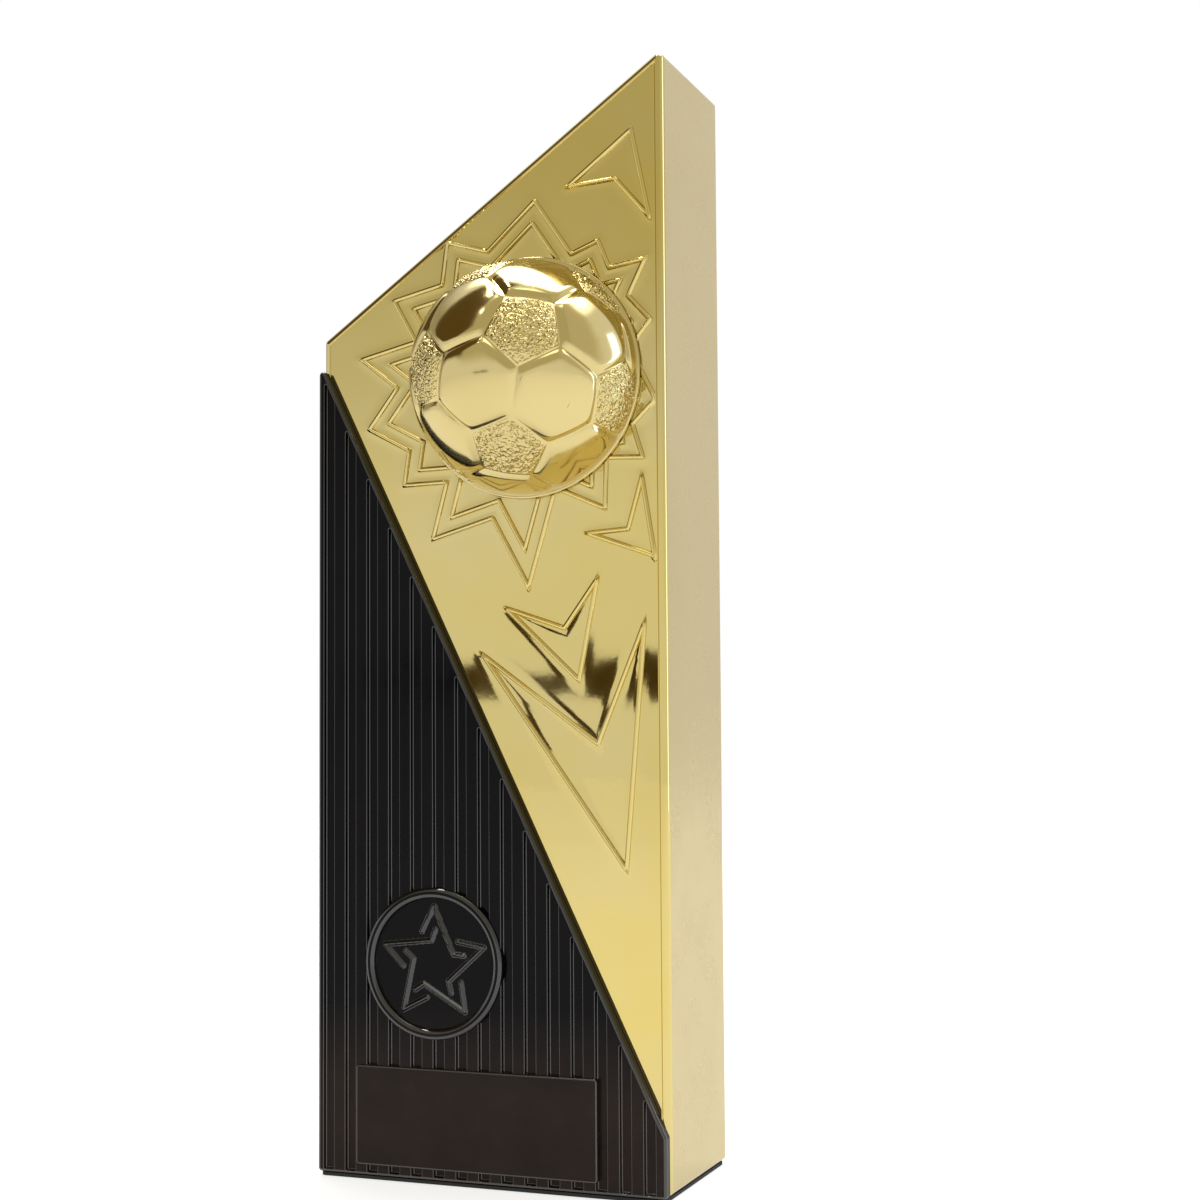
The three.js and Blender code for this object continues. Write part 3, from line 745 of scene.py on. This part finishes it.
def star():
    """The star's strokes as one relief on a thin disc that lies in the ring."""
    strokes = []
    for k in range(5):
        row = []
        for radius, turn in STAR_STROKE:
            a = math.radians(90 + 72 * k + turn)
            row.append([DISC_X - WIDTH / 2 + radius * math.cos(a), DISC_Z + radius * math.sin(a)])
        strokes.append(np.array(row))

    def height(points):
        away = distance_to(strokes, points)
        return STROKE_HEIGHT / 2 * (1 + np.cos(math.pi * np.clip(away / STROKE_HALF, 0, 1)))

    boundary = circle(DISC_X, DISC_Z, DISC_FLAT - 0.6, 120)
    # Points in staggered rows, close enough together for the strokes' slopes.
    ticks = np.arange(-12, 12, STROKE_GRID)
    grid = np.stack(np.meshgrid(ticks, ticks), -1).reshape(-1, 2)
    grid[:, 0] += (np.round(grid[:, 1] / STROKE_GRID).astype(int) % 2) * STROKE_GRID / 2
    centre = np.array([DISC_X - WIDTH / 2, DISC_Z])
    grid = grid[np.linalg.norm(grid, axis=1) < DISC_FLAT - 0.8] + centre
    grid = grid[distance_to(strokes, grid) < 0.8]
    flat, heights, faces, order = relief_face(boundary, [], grid, height)
    face_y = COVER_FACE + DISC_SINK - 0.01
    front = np.c_[flat[:, 0], face_y - heights, flat[:, 1]]
    back = at_depth(flat[order], face_y + 0.4)
    count, first = len(order), len(flat)
    for i in range(count):
        j = (i + 1) % count
        faces.append([order[i], first + i, first + j, order[j]])
    faces.append([first + i for i in reversed(range(count))])
    return new_object("star", np.concatenate([front, back]), faces)


def fluted_cover():
    corners = outline([(0, BOTTOM), (WIDTH, BOTTOM), (WIDTH, COVER_END), (0, COVER_TOP)])
    shape = rounded(corners, COVER_CORNER, 10)
    loops = round_front(shape, COVER_EDGE, COVER_FACE, 6)
    cover = loft("cover", [*loops, at_depth(shape, COVER_BACK)])
    combine(cover, [join("flutes", [flute(i) for i in range(FLUTE_COUNT)])], "DIFFERENCE")
    combine(cover, [pad()], "UNION")
    hole = rod(DISC_RING - 0.3, COVER_FACE - 1, COVER_FACE + FLUTE_DEPTH + 0.4, DISC_X, DISC_Z, 144)
    combine(cover, [hole], "DIFFERENCE")
    combine(cover, [disc()], "UNION")
    combine(cover, [star()], "UNION")
    posts = [rod(POST_RADIUS, COVER_BACK - 0.5, POST_END, x, z, 32) for x, z in COVER_POSTS]
    combine(cover, [join("posts", posts)], "UNION")

    def pick(polygon):
        """Walls and broad faces look straight ahead, back or outwards. The rest are rounded edges."""
        ahead = abs(polygon.normal.y)
        return 0 if ahead < 0.05 or ahead > 0.995 else 1

    finish_piece(cover, "fluted_front", ["fluted_cover"], [BLACK_GLOSS, BLACK_EDGE], 38, pick)


# ---- The half football ----

GOLDEN = (1 + math.sqrt(5)) / 2
BALL_ROWS = 40
# Each seam is a wide dip with a narrow one in its middle, as (depth, reach).
SEAM_WIDE, SEAM_NARROW = (0.5, 0.95), (0.14, 0.36)
PEBBLE_SIZE, PEBBLE_DEPTH, PEBBLE_PEAK = 0.66, 0.32, 2.1
PEBBLE_FROM, PEBBLE_FULL = 0.3, 0.75
FLANGE_HEIGHT, FLANGE_ROUND = 0.8, 0.3
# Each is an angle between those from a panel's middle to its sides and to its corners. Distances are told in
# them, and the pebbles fill that share of a pentagon's.
PENTAGON_REACH, HEXAGON_REACH, PEBBLED = 0.3265, 0.4030, 0.86
# Which way the ball is turned, from its twelve pentagons' usual places.
BALL_TURN = (
    Matrix.Rotation(math.radians(16.8), 3, "Z")
    @ Matrix.Rotation(math.radians(16.3), 3, "X")
    @ Matrix.Rotation(math.radians(9.5), 3, "Y")
    @ Matrix(((1, 0, 0), (0, 0, -1), (0, 1, 0)))
)


def football_panels():
    """The corners of each of the ball's panels, in order, on the unit sphere."""
    points = []
    for a in (-1, 1):
        for b in (-GOLDEN, GOLDEN):
            points += [(0, a, b), (a, b, 0), (b, 0, a)]
    points = [np.array(p, float) for p in points]

    def around(centre, corners):
        centre = centre / np.linalg.norm(centre)
        first = corners[0] - centre * (corners[0] @ centre)
        second = np.cross(centre, first)
        return sorted(corners, key=lambda c: math.atan2(c @ second, c @ first))

    near = [[q for q in points if 0 < np.linalg.norm(p - q) < 2.1] for p in points]
    panels = [around(p, [2 * p + q for q in near[i]]) for i, p in enumerate(points)]
    for i, p in enumerate(points):
        for j, q in enumerate(points):
            for k, r in enumerate(points):
                sides = (np.linalg.norm(p - q), np.linalg.norm(q - r), np.linalg.norm(p - r))
                if i < j < k and max(sides) < 2.1:
                    corners = [2 * a + b for a in (p, q, r) for b in (p, q, r) if a is not b]
                    panels.append(around(p + q + r, corners))
    turn = np.array(BALL_TURN)
    return [[turn @ (c / np.linalg.norm(c)) for c in panel] for panel in panels]


def football_panel(corners):
    """One panel: points and triangles on the unit sphere, and each point's depth below it in millimetres. The
    rows lie closer together towards the seams."""
    rows = BALL_ROWS
    centre = sum(corners)
    centre = centre / np.linalg.norm(centre) * np.linalg.norm(sum(corners) / len(corners))
    points, triangles = [], []
    for p, q in zip(corners, corners[1:] + corners[:1]):
        first = len(points)
        for i in range(rows + 1):
            out = 1 - (1 - i / rows) ** 1.5
            for j in range(i + 1):
                share = j / i if i else 0
                points.append(centre + out * (p - centre + (q - p) * share))
        for i in range(rows):
            here, there = first + i * (i + 1) // 2, first + (i + 1) * (i + 2) // 2
            for j in range(i + 1):
                triangles.append((here + j, there + j, there + j + 1))
                if j < i:
                    triangles.append((here + j, there + j + 1, here + j + 1))
    points = np.array(points)
    points /= np.linalg.norm(points, axis=1)[:, None]
    wide = np.ones(len(points))
    narrow = np.ones(len(points))
    nearest = np.full(len(points), 1e9)
    for p, q in zip(corners, corners[1:] + corners[:1]):
        across = np.cross(p, q)
        away = np.arcsin(np.abs(points @ (across / np.linalg.norm(across)))) * BALL_RADIUS
        wide *= 1 - np.exp(-((away / SEAM_WIDE[1]) ** 2))
        narrow *= 1 - np.exp(-((away / SEAM_NARROW[1]) ** 2))
        nearest = np.minimum(nearest, away)
    depth = SEAM_WIDE[0] * (1 - wide) + SEAM_NARROW[0] * (1 - narrow)
    if len(corners) == 5:
        for i in np.flatnonzero(nearest > PEBBLE_FROM):
            spot = Vector(points[i] * BALL_RADIUS / PEBBLE_SIZE)
            first, second = noise.voronoi(spot)[0][:2]
            grain = min(1.0, (second - first) * PEBBLE_PEAK)
            fade = float(smoothstep(PEBBLE_FROM, PEBBLE_FULL, nearest[i]))
            depth[i] += PEBBLE_DEPTH * (1 - grain) * fade
    return points, triangles, depth


def football_solid(panels, base):
    """The front half of the ball as a closed solid, its flat side at the base."""
    work = bmesh.new()
    for corners in panels:
        points, triangles, depth = football_panel(corners)
        shell = points * (BALL_RADIUS - depth)[:, None] + [BALL_X - WIDTH / 2, base, BALL_Z]
        made = [work.verts.new(p * MM) for p in shell]
        for a, b, c in triangles:
            work.faces.new((made[a], made[b], made[c]))
    bmesh.ops.remove_doubles(work, verts=work.verts, dist=5e-7)
    ball = in_scene(finished("ball", work))
    x, z, reach = BALL_X - WIDTH / 2, BALL_Z, 30
    half = box((x - reach, base - reach, z - reach), (x + reach, base, z + reach))
    combine(ball, [half], "INTERSECT")
    return ball


def football():
    base = FRONT - FIT
    panels = football_panels()
    ball = football_solid(panels, base)
    inner = BALL_RADIUS - BALL_WALL
    bowl = [(0, base - inner)]
    bowl += [(inner * math.sin(a), base - inner * math.cos(a)) for a in np.linspace(0.08, math.pi / 2, 20)]
    bowl += [(inner, base + 2), (0, base + 2)]
    combine(ball, [lathe("bowl", bowl, BALL_X, BALL_Z, 96)], "DIFFERENCE")
    flange = [(inner - 0.01, base), (inner - 0.01, base - FLANGE_HEIGHT)]
    for a in np.linspace(0, math.pi / 2, 6):
        out = BALL_FLANGE - FLANGE_ROUND + FLANGE_ROUND * math.sin(a)
        flange.append((out, base - (FLANGE_HEIGHT - FLANGE_ROUND) - FLANGE_ROUND * math.cos(a)))
    flange.append((BALL_FLANGE, base))
    combine(ball, [lathe("flange", flange, BALL_X, BALL_Z, 160)], "UNION")
    # The posts start inside the ball's wall.
    rise = math.sqrt((BALL_RADIUS - BALL_WALL / 2) ** 2 - BALL_POST_CIRCLE**2)
    posts = [rod(POST_RADIUS, base - rise + 0.6, POST_END, x, z, 32) for x, z in BALL_POSTS]
    combine(ball, [join("posts", posts)], "UNION")
    middles = np.array([sum(c) / np.linalg.norm(sum(c)) for c in panels])
    pentagons = np.array([len(c) == 5 for c in panels])
    reach = np.where(pentagons, PENTAGON_REACH, HEXAGON_REACH)
    centre = np.array([BALL_X - WIDTH / 2, base, BALL_Z]) * MM

    def pick(polygon):
        """Pebbles on the outside of the pentagons, inside their seams, and plain plating elsewhere."""
        arm = np.array(polygon.center) - centre
        distance = np.linalg.norm(arm)
        if not (BALL_RADIUS - 1) * MM < distance < (BALL_RADIUS + 0.1) * MM:
            return 0
        nearness = np.arccos(np.clip(middles @ arm / distance, -1, 1)) / reach
        return 1 if pentagons[np.argmin(nearness)] and nearness.min() < PEBBLED else 0

    materials = [GOLD_BALL, GOLD_PEBBLE]
    finish_piece(ball, "football", ["football_dome"], materials, 50, pick, weighted=False)


# ---- Rear cover, weight, pad and fastenings ----

SHANK_HOLE, HEAD_HOLE = 1.35, 2.8
SCREW_LENGTH, THREADS, THREAD_ROOT, THREAD_CREST = 11, 9, 0.78, 1.15
THREAD_PITCH, THREAD_HALF = 0.9, 0.3
CROSS_REACH, CROSS_HALF, CROSS_DEPTH = 1.5, 0.32, 0.8
CLIP_BORE, CLIP_RADIUS, CLIP_TEETH, SLIT_HALF = 2.15, 4.0, 6, 0.14
WEIGHT_PLACE, WEIGHT_DEPTH = FRONT + WALL + 4.3, 22
FOOT_EDGE, FOOT_TOP = 0.12, 0.65


def rear_cover():
    shape = rounded(inset(tower, WALL + FIT), CORNER_RADIUS)
    cover = loft("rear", [at_depth(shape, REAR_INNER), *round_rear(shape, 0.3, REAR_OUTER, 4)])
    countersunk = [
        (0, REAR_INNER - 1), (SHANK_HOLE, REAR_INNER - 1), (SHANK_HOLE, REAR_OUTER - 1.65),
        (HEAD_HOLE, REAR_OUTER - FIT), (HEAD_HOLE, REAR_OUTER + 1), (0, REAR_OUTER + 1),
    ]
    holes = [lathe("hole", countersunk, x, z, 48) for x, z in REAR_SCREWS]
    combine(cover, [join("holes", holes)], "DIFFERENCE")
    finish_piece(cover, "back_panel", ["rear_cover"], [BLACK_MATTE], 30)


def screw(index, x, z):
    """A countersunk tapping screw: a pointed shank with thread ridges, and a cross recess in its head."""
    face = REAR_OUTER - FIT / 2
    profile = [(0, face - SCREW_LENGTH), (0.25, face - SCREW_LENGTH + 0.1)]
    for k in range(THREADS):
        y = face - SCREW_LENGTH + 0.5 + k * THREAD_PITCH
        taper = min(1.0, (y - face + SCREW_LENGTH - 0.1) / 2)
        profile += [
            (THREAD_ROOT * taper, y), (THREAD_CREST * taper, y + THREAD_HALF),
            (THREAD_ROOT * taper, y + 2 * THREAD_HALF),
        ]
    profile += [(0.95, face - 1.9), (1.15, face - 1.5), (2.5, face - 0.12), (2.53, face - 0.03), (2.46, face)]
    profile += [(0, face)]
    made = lathe("screw", profile, x, z, 40)
    centre, low, high = x - WIDTH / 2, face - CROSS_DEPTH, face + 1
    cross = box((centre - CROSS_REACH, low, z - CROSS_HALF), (centre + CROSS_REACH, high, z + CROSS_HALF))
    upright = box((centre - CROSS_HALF, low, z - CROSS_REACH), (centre + CROSS_HALF, high, z + CROSS_REACH))
    combine(cross, [upright], "UNION")
    combine(made, [cross], "DIFFERENCE")
    finish_piece(made, f"back_screw_{index}", [f"rear_screw_{index}"], [ZINC_STEEL], 30)


def clip(name, node, x, z):
    """A dished push-on clip, slit into teeth round the post."""
    seat = FRONT + WALL + FIT
    profile = [(CLIP_BORE, seat + 0.75), (CLIP_BORE + 0.05, seat + 1.17), (CLIP_BORE + 0.3, seat + 1.18)]
    profile += [(3.3, seat + 0.85), (CLIP_RADIUS - 0.05, seat + 0.5), (CLIP_RADIUS, seat + 0.42)]
    profile += [(CLIP_RADIUS, seat + 0.05), (CLIP_RADIUS - 0.1, seat), (3.2, seat + 0.3)]
    made = lathe("clip", profile, x, z, 64)
    slits = []
    for k in range(CLIP_TEETH):
        turn = 2 * math.pi * (k + 0.5) / CLIP_TEETH
        slit = box((2.0, seat - 0.5, -SLIT_HALF), (3.1, seat + 2, SLIT_HALF))
        slit.data.transform(Matrix.Rotation(turn, 4, "Y"))
        slit.data.transform(Matrix.Translation((MM * (x - WIDTH / 2), 0, MM * z)))
        slits.append(slit)
    combine(made, [join("slits", slits)], "DIFFERENCE")
    finish_piece(made, name, [node], [ZINC_STEEL], 30)


def block(low, high, corner, edge):
    """A block with rounded corners and rounded front and rear edges."""
    shape = rounded(rectangle(low[0], low[2], high[0], high[2]), corner, 6)
    return loft("block", round_front(shape, edge, low[1], 6) + round_rear(shape, edge, high[1], 6))


def weight_and_pads():
    back = WEIGHT_PLACE + WEIGHT_DEPTH
    weight = block((-32, WEIGHT_PLACE, 3.15), (32, back, 28.15), 1.5, 0.8)
    finish_piece(weight, "ballast", ["base_weight"], [CAST_METAL], 30)
    strip = block((-28, back + FIT, 6.15), (28, REAR_INNER - FIT, 24.15), 0.6, 0.25)
    finish_piece(strip, "foam_strip", ["weight_foam"], [FOAM], 30)
    side, near, far = WIDTH / 2 - 0.4, COVER_FACE + 0.3, BACK - 0.4
    plan = rounded(rectangle(-side, near, side, far), 1.2)
    loops = []
    for a in quarter(4):
        loop = inset(plan, FOOT_EDGE * (1 - math.sin(a)))
        loops.append(np.c_[loop, np.full(len(loop), FOOT_EDGE * (1 - math.cos(a)))])
    loops.append(np.c_[plan, np.full(len(plan), FOOT_TOP)])
    finish_piece(loft("pad", loops), "foot_pad", ["base_pad"], [FOAM], 30)


gold_tower()
fluted_cover()
football()
rear_cover()
weight_and_pads()
for i, (x, z) in enumerate(REAR_SCREWS):
    screw(i + 1, x, z)
for i, (x, z) in enumerate(COVER_POSTS):
    clip(f"front_clip_{i + 1}", f"cover_clip_{i + 1}", x, z)
for i, (x, z) in enumerate(BALL_POSTS):
    clip(f"ball_clip_{i + 1}", f"football_clip_{i + 1}", x, z)


# ---- Studio ----

STRIP_PARTS, STRIP_LEFT, STRIP_WIDTH, STRIP_PLACE = 60, -0.54, 0.30, -1.0
STRIP_LOW, STRIP_HIGH = 0.108, 0.134
CARDS_FACE = (0, 0, 0.15)
DOME_RADIUS, DOME_CENTRE, DOME_STRAY = 2.6, 0.12, 16.0
# Each zone of the dome: azimuths, elevations, half the width of its soft border, and its colour.
ROOM_ZONES = [
    ((-45, 75), (10.5, 64), 7, (0.64, 0.60, 0.44)),
    ((60, 100), (8, 80), 8, (0.72, 0.68, 0.55)),
    ((-170, -95), (5, 42), 8, (0.46, 0.42, 0.30)),
    ((-97, -41), (14, 84), 4, (0.13, 0.085, 0.03)),
    ((-8, 52), (65, 78), 4, (2.6, 2.5, 2.3)),
    ((100, 400), (52, 200), 8, (7.0, 7.0, 7.0)),
    ((-400, -112), (55, 200), 8, (7.0, 7.0, 7.0)),
]
CAMERA_PLACE = (0.1550, -0.3597, 0.0872)
CAMERA_YAW, CAMERA_PITCH, CAMERA_ROLL = 21.08, 3.03, -0.373


def glow_material(name, colour, strength):
    glow = bpy.data.materials.new(name)
    glow.use_nodes = True
    tree = glow.node_tree
    tree.nodes.clear()
    out = tree.nodes.new("ShaderNodeOutputMaterial")
    light = tree.nodes.new("ShaderNodeEmission")
    light.inputs["Color"].default_value = (*colour, 1)
    light.inputs["Strength"].default_value = strength
    tree.links.new(light.outputs[0], out.inputs["Surface"])
    return glow


def put_on_stage(mesh, place=(0, 0, 0), turn=(1, 0, 0, 0)):
    """A thing of the room that is only seen in reflections."""
    made = in_scene(mesh)
    made.location = place
    made.rotation_mode = "QUATERNION"
    made.rotation_quaternion = turn
    made.visible_camera = False
    made.visible_shadow = False


def card(name, centre, size, colour, strength):
    """A flat card that glows evenly. Its width is level, and it faces the object."""
    w, h = size[0] / 2, size[1] / 2
    mesh = bpy.data.meshes.new(name)
    mesh.from_pydata([(-w, -h, 0), (w, -h, 0), (w, h, 0), (-w, h, 0)], [], [(0, 1, 2, 3)])
    mesh.materials.append(glow_material(name, colour, strength))
    put_on_stage(mesh, centre, (Vector(CARDS_FACE) - Vector(centre)).to_track_quat("Z", "Y"))


def dark_strip():
    """A long dark thing with a ragged outline, far in front, that the plating mirrors as a band."""
    mesh = bpy.data.meshes.new("dark_strip")
    vertices, faces = [], []
    for i in range(STRIP_PARTS + 1):
        x = STRIP_LEFT + STRIP_WIDTH * i / STRIP_PARTS
        ragged = noise.noise(Vector((x * 22, 0.3, 0))) + 0.5 * noise.noise(Vector((x * 60, 4.2, 0)))
        lump = noise.noise(Vector((x * 16, 7.7, 1))) + 0.5 * noise.noise(Vector((x * 50, 2.2, 3)))
        vertices.append((x, STRIP_PLACE, STRIP_LOW + 0.011 * ragged))
        vertices.append((x, STRIP_PLACE, STRIP_HIGH + 0.012 * lump))
        if i:
            faces.append((2 * i - 2, 2 * i, 2 * i + 1, 2 * i - 1))
    mesh.from_pydata(vertices, [], faces)
    mesh.materials.append(glow_material("dark_strip", (0.07, 0.045, 0.012), 1.0))
    put_on_stage(mesh)


class Rooms:
    """The dome's nodes, with short ways to its soft zones.

    Directions are (azimuth, elevation) in degrees: azimuth 0 is in front, negative to the left."""

    def __init__(self, tree):
        self.tree = tree
        place = tree.nodes.new("ShaderNodeTexCoord")
        split = tree.nodes.new("ShaderNodeSeparateXYZ")
        tree.links.new(place.outputs["Object"], split.inputs[0])
        x, y, z = split.outputs
        cloud = tree.nodes.new("ShaderNodeTexNoise")
        cloud.inputs["Scale"].default_value = 1.6
        cloud.inputs["Detail"].default_value = 3
        tree.links.new(place.outputs["Object"], cloud.inputs["Vector"])
        # Clouds shift the zones' borders, half as far upwards as round.
        stray = self.math("MULTIPLY", self.math("SUBTRACT", cloud.outputs["Fac"], 0.5), DOME_STRAY)
        around = self.math("ARCTAN2", x, self.math("MULTIPLY", y, -1.0))
        self.azimuth = self.math("ADD", self.math("MULTIPLY", around, 180 / math.pi), stray)
        up = self.math("MULTIPLY", self.math("ARCSINE", self.math("DIVIDE", z, DOME_RADIUS)), 180 / math.pi)
        self.elevation = self.math("ADD", up, self.math("MULTIPLY", stray, 0.5))

    def math(self, kind, *values):
        node = self.tree.nodes.new("ShaderNodeMath")
        node.operation = kind
        for socket, value in zip(node.inputs, values):
            if isinstance(value, (int, float)):
                socket.default_value = value
            else:
                self.tree.links.new(value, socket)
        return node.outputs[0]

    def step(self, value, middle, soft):
        node = self.tree.nodes.new("ShaderNodeMapRange")
        node.interpolation_type = "SMOOTHSTEP"
        node.inputs["From Min"].default_value = middle - soft
        node.inputs["From Max"].default_value = middle + soft
        self.tree.links.new(value, node.inputs["Value"])
        return node.outputs["Result"]

    def zone(self, around, up, soft):
        """A mask that is 1 within those azimuths and elevations."""
        a = [self.step(self.azimuth, edge, soft) for edge in around]
        b = [self.step(self.elevation, edge, soft) for edge in up]
        return self.math("MULTIPLY", self.math("SUBTRACT", *a), self.math("SUBTRACT", *b))


def dome():
    """The room round the object, as soft zones of light and shade on a large white dome."""
    work = bmesh.new()
    bmesh.ops.create_icosphere(work, subdivisions=4, radius=DOME_RADIUS)
    mesh = finished("dome", work)
    glow = glow_material("dome", (1, 1, 1), 1.0)
    tree = glow.node_tree
    rooms = Rooms(tree)
    colour = None
    for around, up, soft, tint in ROOM_ZONES:
        mix = tree.nodes.new("ShaderNodeMix")
        mix.data_type = "RGBA"
        tree.links.new(rooms.zone(around, up, soft), mix.inputs[0])
        if colour is not None:
            tree.links.new(colour, mix.inputs[6])
        else:
            mix.inputs[6].default_value = (1, 1, 1, 1)
        mix.inputs[7].default_value = (*tint, 1)
        colour = mix.outputs[2]
    tree.links.new(colour, tree.nodes["Emission"].inputs["Color"])
    glow.cycles.emission_sampling = "NONE"
    mesh.materials.append(glow)
    put_on_stage(mesh, (0, 0, DOME_CENTRE))


def studio():
    world = bpy.data.worlds.new("studio")
    bpy.context.scene.world = world
    world.use_nodes = True
    sky = world.node_tree.nodes["Background"]
    sky.inputs["Color"].default_value = (1, 1, 1, 1)
    sky.inputs["Strength"].default_value = 1.0

    mesh = bpy.data.meshes.new("floor")
    mesh.from_pydata([(-6, -6, 0), (6, -6, 0), (6, 6, 0), (-6, 6, 0)], [], [(0, 1, 2, 3)])
    floor = in_scene(mesh)
    floor.location.z = cad_box[0].z - 0.0001
    paper = bpy.data.materials.new("paper")
    paper.use_nodes = True
    shader = paper.node_tree.nodes["Principled BSDF"]
    shader.inputs["Base Color"].default_value = (0.3, 0.3, 0.3, 1)
    shader.inputs["Roughness"].default_value = 0.9
    shader.inputs["Specular IOR Level"].default_value = 0.1
    shader.inputs["Emission Color"].default_value = (1, 1, 1, 1)
    shader.inputs["Emission Strength"].default_value = 0.74
    mesh.materials.append(paper)

    dome()
    # The strip shows in the plating as a dark band. The cards are a small high window, a tall bluish one
    # behind on the right for the edges, and a long light overhead for the ledges.
    dark_strip()
    card("window", (-0.56, -0.75, 1.35), (0.12, 0.09), (1, 1, 1), 9.0)
    card("tall_window", (1.36, 0.85, 0.40), (0.30, 1.2), (0.55, 0.72, 1), 5.5)
    card("overhead", (-0.45, 0.02, 1.5), (0.7, 0.16), (1, 0.97, 0.92), 20.0)


def camera():
    """A camera on the right that looks a little up at the object."""
    data = bpy.data.cameras.new("camera")
    made = bpy.data.objects.new("camera", data)
    bpy.context.scene.collection.objects.link(made)
    data.sensor_width = 36
    data.lens = 58.7
    data.shift_y = 0.018
    data.clip_start, data.clip_end = 0.01, 50
    yaw, pitch, roll = (math.radians(a) for a in (CAMERA_YAW, CAMERA_PITCH, CAMERA_ROLL))
    ahead = Vector((-math.sin(yaw) * math.cos(pitch), math.cos(yaw) * math.cos(pitch), math.sin(pitch)))
    right = Vector((math.cos(yaw), math.sin(yaw), 0))
    up = right.cross(ahead)
    right, up = right * math.cos(roll) + up * math.sin(roll), up * math.cos(roll) - right * math.sin(roll)
    made.matrix_world = Matrix((
        (right.x, up.x, -ahead.x, CAMERA_PLACE[0]),
        (right.y, up.y, -ahead.y, CAMERA_PLACE[1]),
        (right.z, up.z, -ahead.z, CAMERA_PLACE[2]),
        (0, 0, 0, 1),
    ))
    bpy.context.scene.camera = made


bpy.context.scene.view_settings.view_transform = "Standard"
studio()
camera()
